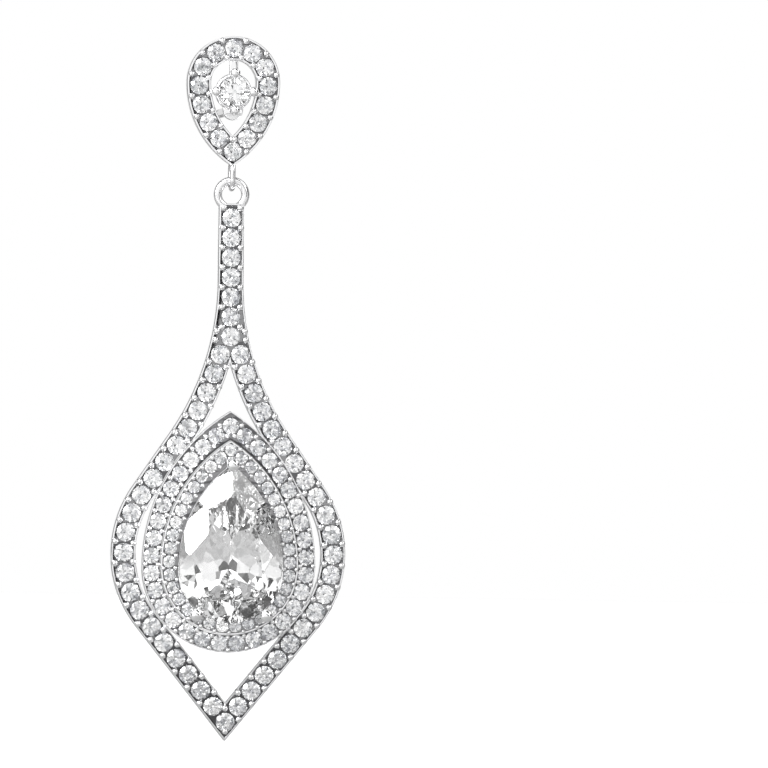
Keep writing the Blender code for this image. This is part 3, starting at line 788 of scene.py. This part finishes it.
def makePost():
    start, end = fit, fit + post["length"]
    groove, radius = end - post["grooveBack"], post["radius"]
    waist = radius - post["grooveDepth"]
    half, lip = post["grooveWidth"] / 2, waist + post["lip"]
    lipAt, waistAt = half * post["lipShare"], half * post["waistShare"]
    profile = [
        (0, start), (radius, start), (radius, groove - half), (lip, groove - lipAt),
        (waist, groove - waistAt), (waist, groove + waistAt), (lip, groove + lipAt),
        (radius, groove + half), (radius, end - radius),
    ]
    profile += [
        (radius * math.cos(a), end - radius + radius * math.sin(a))
        for a in [math.pi / 2 * i / post["tipSteps"] for i in range(1, post["tipSteps"])]
    ]
    profile.append((0, end))
    deselectAll()
    line = bpy.data.meshes.new("earPost")
    line.from_pydata([(r, y, 0) for r, y in profile], [(i, i + 1) for i in range(len(profile) - 1)], [])
    turned = bpy.data.objects.new("earPost", line)
    bpy.context.scene.collection.objects.link(turned)
    pickObject(turned)
    bpy.ops.object.mode_set(mode="EDIT")
    bpy.ops.mesh.select_mode(type="VERT")
    bpy.ops.mesh.select_all(action="SELECT")
    bpy.ops.mesh.spin(steps=post["sides"], angle=2 * math.pi, center=(0, 0, 0), axis=(0, 1, 0))
    endEdit()
    cleanShell(turned)
    finishPiece(turned, wirePlate, "stud", "ear_post", smoothAngles["post"])


makeSolitaire()
makePost()


# The drop frame and the ring it hangs by.

belly = {"radius": 9.948, "centreZ": -37.63}
drop = {
    "thick": 1.2, "band": 2.05, "neckHalf": 1.06, "neckTopZ": -7.92, "sweep": 23.0,
    "flankLean": math.radians(34.5), "pointLean": math.radians(38.7),
    "bowDepth": 1.2, "bowTopZ": -12.0, "bowSkew": 1.4, "rim": 0.16, "sunk": 0.1,
    "neckPitch": 1.68, "neckStones": 7, "neckFirstZ": -9.15, "limbFirstX": 0.87, "limbPitch": 1.72,
    "looseBeads": ((0.7, -8.3), (1.18, -18.75), (1.27, -19.5), (0, -52.7)),
}
middle = {
    "radius": 7.35, "drop": 13.1, "centreZ": belly["centreZ"] - 1.0, "proud": 1.7, "thick": 1.2,
    "pitch": 1.5, "rim": 0.1, "sunk": 0.08, "paintedShadowBeyond": 0.04,
}
inner = {
    "radius": 5.83, "drop": 10.6, "centreZ": belly["centreZ"] - 1.0, "proud": 2.4, "thick": 1.3,
    "openingRadius": 4.2, "openingDrop": 8.4, "pitch": 1.13, "rowInset": 0.69, "rowPointInset": 0.79,
    "rim": 0.13, "sunk": 0.08,
}


def planeY(proud):
    return dropPlaneY - drop["thick"] / 2 - proud


def frameSide(inset=0, steps=30):
    lean, radius, sweepRadius = drop["flankLean"], belly["radius"], drop["sweep"]
    lineX, lineZ = radius * math.cos(lean), radius * math.sin(lean)
    sweepX = drop["neckHalf"] + sweepRadius
    footX = sweepX - sweepRadius * math.cos(lean)
    sweepZ = lineZ + (lineX - footX) / math.tan(lean) + sweepRadius * math.sin(lean)
    sweep = arcPoints((sweepX, sweepZ), sweepRadius + inset, math.pi, math.pi + lean, steps)
    bowl = arcPoints((0, 0), radius - inset, lean, -drop["pointLean"], 2 * steps)
    tip = (0, -(radius - inset) / math.sin(drop["pointLean"]))
    neck = (drop["neckHalf"] - inset, drop["neckTopZ"] - belly["centreZ"])
    return [(x, belly["centreZ"] + z) for x, z in [neck] + sweep + bowl + [tip]]


def bowAt(z):
    tipZ = belly["centreZ"] - belly["radius"] / math.sin(drop["pointLean"])
    share = min(max((drop["bowTopZ"] - z) / (drop["bowTopZ"] - tipZ), 0), 1)
    return drop["bowDepth"] * math.sin(math.pi * share ** drop["bowSkew"])


def crossMiddle(side):  # where a side's path first crosses the centre line
    for (x0, z0), (x1, z1) in zip(side, side[1:]):
        if x0 <= 0 < x1:
            return (0, z0 + (z1 - z0) * -x0 / (x1 - x0))
    return side[0]


def makeDropFrame():
    outer = mirrorSide([(0, drop["neckTopZ"])] + frameSide())
    inSide = frameSide(drop["band"])
    opening = mirrorSide([crossMiddle(inSide)] + [spot for spot in inSide if spot[0] > 0] + [inSide[-1]])
    band = rimmedBand("dropBand", outer, opening, planeY(0), drop["thick"], drop["rim"], drop["sunk"])
    seat = mirrorSide(teardropSide(middle["radius"], middle["drop"], middle["centreZ"], 1, -fit))
    neck = [(0, drop["neckFirstZ"] - i * drop["neckPitch"]) for i in range(drop["neckStones"])]
    first = drop["limbFirstX"]
    limb = frameSide(drop["band"] / 2)
    start = next(i for i, (x, _) in enumerate(limb) if x > first)
    (x0, z0), (x1, z1) = limb[start - 1], limb[start]
    limb = [(first, z0 + (z1 - z0) * (first - x0) / (x1 - x0))] + limb[start:]
    count = round(pathLength(limb) / drop["limbPitch"])
    places = [pathLength(limb) * i / count for i in range(count + 1)]
    sizes = paveSizes["frame"]
    bare = mirrorSide(teardropSide(
        middle["radius"], middle["drop"], middle["centreZ"], 1, -sizes["bead"] - fit))
    rightStones, rightBeads = rowSpots(limb, places, sizes, bare)
    leftStones, leftBeads = rowSpots([(-x, z) for x, z in limb], places[:-1], sizes, bare)
    neckPlaces = [i * drop["neckPitch"] for i in range(drop["neckStones"])]
    neckStones, neckBeads = rowSpots(neck, neckPlaces, sizes)
    for x, z in drop["looseBeads"]:
        neckBeads += [((side * x, z), 0, sizes["bead"]) for side in ((-1, 1) if x else (1,))]
    cutAway(band, flatPlate("seat", [seat], planeY(0) - drop["thick"], 3 * drop["thick"]))
    stones = rightStones + leftStones + neckStones
    beads = rightBeads + leftBeads + neckBeads
    stonePiece, beadPiece = setRow("drop", band, stones, beads, planeY(0), bowAt)
    finishRow(band, stonePiece, beadPiece, "drop", "drop_frame")


def makeDropRing():
    circle = arcPoints((0, ring["centreZ"]), ring["radius"], 0, 2 * math.pi, ring["steps"])[:-1]
    wire = roundWire(
        "dropRing", [(x, dropPlaneY, z) for x, z in circle], ring["wire"], closed=True, sides=5)
    finishPiece(wire, wirePlate, "drop", "drop_frame", smoothAngles["wire"])


makeDropFrame()
makeDropRing()


# The two halos round the pear.


def makeMiddleHalo():
    faceY = planeY(middle["proud"])
    outer = mirrorSide(teardropSide(middle["radius"], middle["drop"], middle["centreZ"]))
    opening = mirrorSide(teardropSide(inner["radius"], inner["drop"], middle["centreZ"], 1, -fit))
    band = rimmedBand("middleBand", outer, opening, faceY, middle["thick"], middle["rim"], middle["sunk"])
    row = teardropSide(
        (middle["radius"] + inner["radius"]) / 2, (middle["drop"] + inner["drop"]) / 2, middle["centreZ"])
    count = round(2 * pathLength(row) / middle["pitch"])
    stones, beads = ringSpots(row, count, paveSizes["middle"])
    # the rim round the opening is painted dark as the shadow of the gap beside the inner halo
    paintedShadowNook = mirrorSide(teardropSide(
        inner["radius"], inner["drop"], middle["centreZ"], 1, -fit - middle["rim"] - middle["paintedShadowBeyond"]))
    stonePiece, beadPiece = setRow("middle", band, stones, beads, faceY, paintedShadowNook=paintedShadowNook)
    finishRow(band, stonePiece, beadPiece, "drop", "middle_halo")


def makeInnerHalo():
    faceY = planeY(inner["proud"])
    outer = mirrorSide(teardropSide(inner["radius"], inner["drop"], inner["centreZ"]))
    opening = mirrorSide(teardropSide(inner["openingRadius"], inner["openingDrop"], inner["centreZ"]))
    band = rimmedBand("innerBand", outer, opening, faceY, inner["thick"], inner["rim"], inner["sunk"])
    row = teardropSide(
        inner["radius"] - inner["rowInset"], inner["drop"] - inner["rowPointInset"], inner["centreZ"])
    count = round(2 * pathLength(row) / inner["pitch"])
    stones, beads = ringSpots(row, count, paveSizes["inner"])
    stonePiece, beadPiece = setRow("inner", band, stones, beads, faceY)
    finishRow(band, stonePiece, beadPiece, "drop", "inner_halo")


makeMiddleHalo()
makeInnerHalo()


# The pear and its basket.

pear = {
    "radius": 4.45, "drop": 8.95, "centreZ": belly["centreZ"] - 1.35, "girdleProud": 3.6, "crown": 1.25,
    "pavilion": 3.3, "girdle": 0.12, "blankSteps": 16, "reachSteps": 40,
}
pearTiers = [  # slopes in degrees, minus for the facets behind the girdle
    {"count": 8, "phase": 0.5, "inset": 0, "height": 0.12, "slope": 34, "scatter": 0},
    {"count": 16, "phase": 0.5, "inset": 0, "height": 0.12, "slope": 41, "scatter": 0},
    {"count": 8, "phase": 0, "inset": 1.55, "height": 1.17, "slope": 24, "scatter": 0},
    {"count": 20, "phase": 0.5, "inset": 0, "height": 0, "slope": -46, "scatter": 1.5},
    {"count": 28, "phase": 0.5, "inset": 0.8, "height": -0.82, "slope": -43, "scatter": 2},
    {"count": 20, "phase": 0, "inset": 2.0, "height": -1.92, "slope": -40.5, "scatter": 2.5},
    {"count": 12, "phase": 0.5, "inset": 3.2, "height": -2.9, "slope": -37.5, "scatter": 2.5},
]
basket = {
    "railHigh": 0.25, "railWide": 0.3, "railSoft": (0.07, 3), "lowRailInset": 0.3, "highRailBack": 0.45,
    "claw": 0.3, "ball": 0.56, "ballSquash": 0.85, "topGrip": 0.4, "clawProud": 4.8,
    "clawLean": math.radians(-52), "footDeep": 0.9, "topFootRoom": 1.15,
}


def pearReach(share):  # the outline's outward direction and its reach from the round end's centre
    path = mirrorSide(teardropSide(pear["radius"], pear["drop"], 0, steps=pear["reachSteps"]))
    path.append(path[0])
    spot, (dx, dz) = walkPath(path, (share % 1) * pathLength(path))
    direction = (-dz, dx) if share % 1 else (0, 1)
    if direction[0] * spot[0] + direction[1] * spot[1] < 0:
        direction = (-direction[0], -direction[1])
    return direction, direction[0] * spot[0] + direction[1] * spot[1]


def makePear():
    girdleY = planeY(pear["girdleProud"])
    outline = mirrorSide(teardropSide(
        pear["radius"], pear["drop"], pear["centreZ"], steps=pear["blankSteps"]))
    deep = pear["crown"] + pear["pavilion"]
    blank = flatPlate("pearGem", [outline], girdleY - deep, 2 * deep)
    centre = (0, girdleY + pear["girdle"], pear["centreZ"])
    startEdit(blank)
    for tier in pearTiers:
        sliceTier(centre, pearReach, tier)
    finishCut(centre, pear["girdle"] + pear["crown"])
    finishPiece(blank, pearCrystal, "drop", "pear_stone")


def makeRail(frontY, inset):
    outer = mirrorSide(teardropSide(pear["radius"], pear["drop"], pear["centreZ"], 1, inset))
    opening = mirrorSide(teardropSide(
        pear["radius"], pear["drop"], pear["centreZ"], 1, inset + basket["railWide"]))
    rail = flatPlate("rail", [outer, opening], frontY, basket["railHigh"])
    softenEdges(rail, *basket["railSoft"])
    return rail


def makePearBasket():
    girdleY, haloY = planeY(pear["girdleProud"]), planeY(inner["proud"])
    footY = haloY + basket["footDeep"]
    parts = [
        makeRail(haloY - fit - basket["railHigh"], basket["lowRailInset"]),
        makeRail(girdleY + basket["highRailBack"], fit),
    ]
    lower = inner["centreZ"] - pear["centreZ"]
    lean = basket["clawLean"]
    lowFoot = inner["openingRadius"] - lower * math.sin(-lean) - basket["claw"] - 2 * fit
    topFoot = inner["openingDrop"] + lower - basket["topFootRoom"]
    for turn, foot, edge, grip in (
        (math.pi / 2, topFoot, pear["drop"], basket["topGrip"]), (lean, lowFoot, pear["radius"], 0),
        (-math.pi - lean, lowFoot, pear["radius"], 0),
    ):
        beside = edge + basket["claw"] + fit
        run = [
            (foot, footY), (foot, haloY), (beside, girdleY + basket["highRailBack"]),
            (beside - grip, planeY(basket["clawProud"])),
        ]
        points = [(r * math.cos(turn), y, pear["centreZ"] + r * math.sin(turn)) for r, y in run]
        parts.append(roundWire("claw", points, basket["claw"], sides=4))
        parts.append(wireBall(points[-1], basket["ball"], basket["ballSquash"]))
    holder = joinPieces(parts, "pearBasket")
    finishPiece(holder, wirePlate, "drop", "pear_basket", smoothAngles["setting"])


makePear()
makePearBasket()

bpy.data.objects.remove(paveStone)
bpy.data.objects.remove(grain)


# Floor, light and camera.

stage = {
    "floorBelow": 6.0, "floorRadius": 0.9, "floorSides": 96, "matt": 0.6, "glow": 0.9,
    "frontY": (-0.03, -0.16), "tones": (0.41, 0.74),
}
tent = {
    "bright": 1.25, "dim": 0.5, "dimFrom": -0.9, "brightFrom": 0.7, "towards": (-0.45, -0.45, 0.77),
    "panels": 2.0, "front": (-0.1, -0.99, 0.0),
    "open": 1.0, "openFrom": 0.86, "openTo": 0.93,
    "tones": ((0.0, 0.01), (0.36, 0.01), (0.38, 0.4), (0.48, 0.45), (0.51, 1.1), (0.78, 1.1), (0.81, 2.2)),
    "backFrom": -0.1, "backTo": -0.4,
    "backTones": ((0.0, 0.75), (0.02, 0.75), (0.03, 0.03), (0.14, 0.03), (0.17, 0.62)),
}
keyLight = {
    "place": (-0.36, -0.234, 0.221), "target": (0, 0, -0.025), "size": (0.26, 0.3), "power": 2.0,
}
shot = {
    "azimuth": -6.0, "distance": 0.9, "pxPerMm": 11.8, "pixels": 768, "sensor": 36,
    "aimX": 13.03, "aimY": -2.0, "aimZ": -23.05, "lean": 0.8, "clip": (0.01, 10),
}
stoneBounces = 12  # light goes round a cut stone many times


def makeFloor():
    deselectAll()
    low = cadBox[0][2] - stage["floorBelow"] / 1000
    bpy.ops.mesh.primitive_circle_add(
        vertices=stage["floorSides"], radius=stage["floorRadius"], fill_type="NGON", location=(0, 0, low))
    floor = bpy.context.object
    floor.name = "studioFloor"
    bpy.ops.object.transform_apply(location=True, rotation=True, scale=True)
    material = bpy.data.materials.new("paleFloor")
    material.use_nodes = True
    nodes, links = material.node_tree.nodes, material.node_tree.links
    shader = nodes["Principled BSDF"]
    place = nodes.new("ShaderNodeTexCoord")
    split = nodes.new("ShaderNodeSeparateXYZ")
    forward = nodes.new("ShaderNodeMapRange")
    forward.interpolation_type = "SMOOTHSTEP"
    forward.inputs["From Min"].default_value, forward.inputs["From Max"].default_value = stage["frontY"]
    forward.inputs["To Min"].default_value, forward.inputs["To Max"].default_value = stage["tones"]
    links.new(place.outputs["Object"], split.inputs["Vector"])
    links.new(split.outputs["Y"], forward.inputs["Value"])
    links.new(forward.outputs["Result"], shader.inputs["Base Color"])
    setInputs(shader, {"Roughness": stage["matt"], "Emission Color": (1, 1, 1, 1)})
    seen = nodes.new("ShaderNodeLightPath")
    glow = nodes.new("ShaderNodeMath")
    glow.operation = "MULTIPLY"
    glow.inputs[1].default_value = stage["glow"]
    links.new(seen.outputs["Is Camera Ray"], glow.inputs[0])
    links.new(glow.outputs["Value"], shader.inputs["Emission Strength"])
    floor.data.materials.append(material)


def fillRamp(ramp, tones):
    for stop, tone in tones[1:-1]:
        ramp.elements.new(stop).color = (tone, tone, tone, 1)
    for element, (stop, tone) in ((ramp.elements[0], tones[0]), (ramp.elements[-1], tones[-1])):
        element.position = stop
        element.color = (tone, tone, tone, 1)


def makeTent():
    # a soft light tent: bright upper left, dimmer lower right, gaps between its panels,
    # open to a white room in front, plain grey behind and dark close round the backdrop
    world = bpy.data.worlds.new("lightTent")
    bpy.context.scene.world = world
    world.use_nodes = True
    nodes, links = world.node_tree.nodes, world.node_tree.links
    nodes.clear()
    out = nodes.new("ShaderNodeOutputWorld")
    light = nodes.new("ShaderNodeBackground")
    seen = nodes.new("ShaderNodeBackground")
    setInputs(seen, {"Color": (1, 1, 1, 1), "Strength": 1.0})
    path = nodes.new("ShaderNodeLightPath")
    mix = nodes.new("ShaderNodeMixShader")
    place = nodes.new("ShaderNodeTexCoord")
    towardsKey = nodes.new("ShaderNodeVectorMath")
    towardsKey.operation = "DOT_PRODUCT"
    towardsKey.inputs[1].default_value = tent["towards"]
    spread = nodes.new("ShaderNodeMapRange")
    spread.interpolation_type = "SMOOTHSTEP"
    setInputs(spread, {
        "From Min": tent["dimFrom"], "From Max": tent["brightFrom"], "To Min": tent["dim"],
        "To Max": tent["bright"],
    })
    panels = nodes.new("ShaderNodeTexVoronoi")
    panels.inputs["Scale"].default_value = tent["panels"]
    panelTone = nodes.new("ShaderNodeSeparateColor")
    panelRamp = nodes.new("ShaderNodeValToRGB")
    fillRamp(panelRamp.color_ramp, tent["tones"])
    dim = nodes.new("ShaderNodeVectorMath")
    dim.operation = "SCALE"
    frontness = nodes.new("ShaderNodeVectorMath")
    frontness.operation = "DOT_PRODUCT"
    frontness.inputs[1].default_value = tent["front"]
    wholeTurn = nodes.new("ShaderNodeMapRange")
    setInputs(wholeTurn, {"From Min": -1.0, "From Max": 1.0})
    backRamp = nodes.new("ShaderNodeValToRGB")
    fillRamp(backRamp.color_ramp, tent["backTones"])
    backness = nodes.new("ShaderNodeMapRange")
    backness.interpolation_type = "SMOOTHSTEP"
    setInputs(backness, {"From Min": tent["backFrom"], "From Max": tent["backTo"]})
    around = nodes.new("ShaderNodeMix")
    around.data_type = "RGBA"
    openFront = nodes.new("ShaderNodeMapRange")
    openFront.interpolation_type = "SMOOTHSTEP"
    setInputs(openFront, {"From Min": tent["openFrom"], "From Max": tent["openTo"]})
    joined = nodes.new("ShaderNodeMix")
    joined.data_type = "RGBA"
    joined.inputs["B"].default_value = (tent["open"], tent["open"], tent["open"], 1)
    for start, end in (
        (place.outputs["Generated"], towardsKey.inputs[0]),
        (towardsKey.outputs["Value"], spread.inputs["Value"]),
        (place.outputs["Generated"], panels.inputs["Vector"]),
        (panels.outputs["Color"], panelTone.inputs["Color"]),
        (panelTone.outputs["Red"], panelRamp.inputs["Fac"]),
        (panelRamp.outputs["Color"], dim.inputs[0]),
        (spread.outputs["Result"], dim.inputs["Scale"]),
        (place.outputs["Generated"], frontness.inputs[0]),
        (frontness.outputs["Value"], wholeTurn.inputs["Value"]),
        (wholeTurn.outputs["Result"], backRamp.inputs["Fac"]),
        (frontness.outputs["Value"], backness.inputs["Value"]),
        (backness.outputs["Result"], around.inputs["Factor"]),
        (dim.outputs["Vector"], around.inputs["A"]),
        (backRamp.outputs["Color"], around.inputs["B"]),
        (frontness.outputs["Value"], openFront.inputs["Value"]),
        (openFront.outputs["Result"], joined.inputs["Factor"]),
        (around.outputs["Result"], joined.inputs["A"]),
        (joined.outputs["Result"], light.inputs["Color"]),
        (path.outputs["Is Camera Ray"], mix.inputs["Fac"]),
        (light.outputs["Background"], mix.inputs[1]),
        (seen.outputs["Background"], mix.inputs[2]),
        (mix.outputs["Shader"], out.inputs["Surface"]),
    ):
        links.new(start, end)


def addKeyLight():
    deselectAll()
    bpy.ops.object.light_add(type="AREA", location=keyLight["place"])
    box = bpy.context.object
    box.name = "keyLight"
    box.data.shape = "RECTANGLE"
    box.data.size, box.data.size_y = keyLight["size"]
    box.data.energy = keyLight["power"]
    away = Vector(keyLight["target"]) - Vector(keyLight["place"])
    box.rotation_euler = away.to_track_quat("-Z", "Y").to_euler()


def makeCamera():
    turn = math.radians(shot["azimuth"])
    back = Vector((math.sin(turn), -math.cos(turn), 0))
    right = Vector((math.cos(turn), math.sin(turn), 0))
    aim = right * shot["aimX"] / 1000 + Vector((0, shot["aimY"] / 1000, shot["aimZ"] / 1000))
    bpy.ops.object.camera_add(location=aim + back * shot["distance"])
    camera = bpy.context.object
    level = Matrix.Rotation(turn, 3, "Z") @ Matrix.Rotation(math.pi / 2, 3, "X")
    camera.rotation_euler = (level @ Matrix.Rotation(math.radians(shot["lean"]), 3, "Z")).to_euler()
    wide = shot["pixels"] / shot["pxPerMm"] / 1000
    camera.data.sensor_width = shot["sensor"]
    camera.data.lens = shot["sensor"] * shot["distance"] / wide
    camera.data.clip_start, camera.data.clip_end = shot["clip"]
    bpy.context.scene.camera = camera


makeFloor()
makeTent()
addKeyLight()
makeCamera()
bpy.context.scene.view_settings.view_transform = "Standard"
bpy.context.scene.cycles.glossy_bounces = stoneBounces
print("floor, light and camera ready")
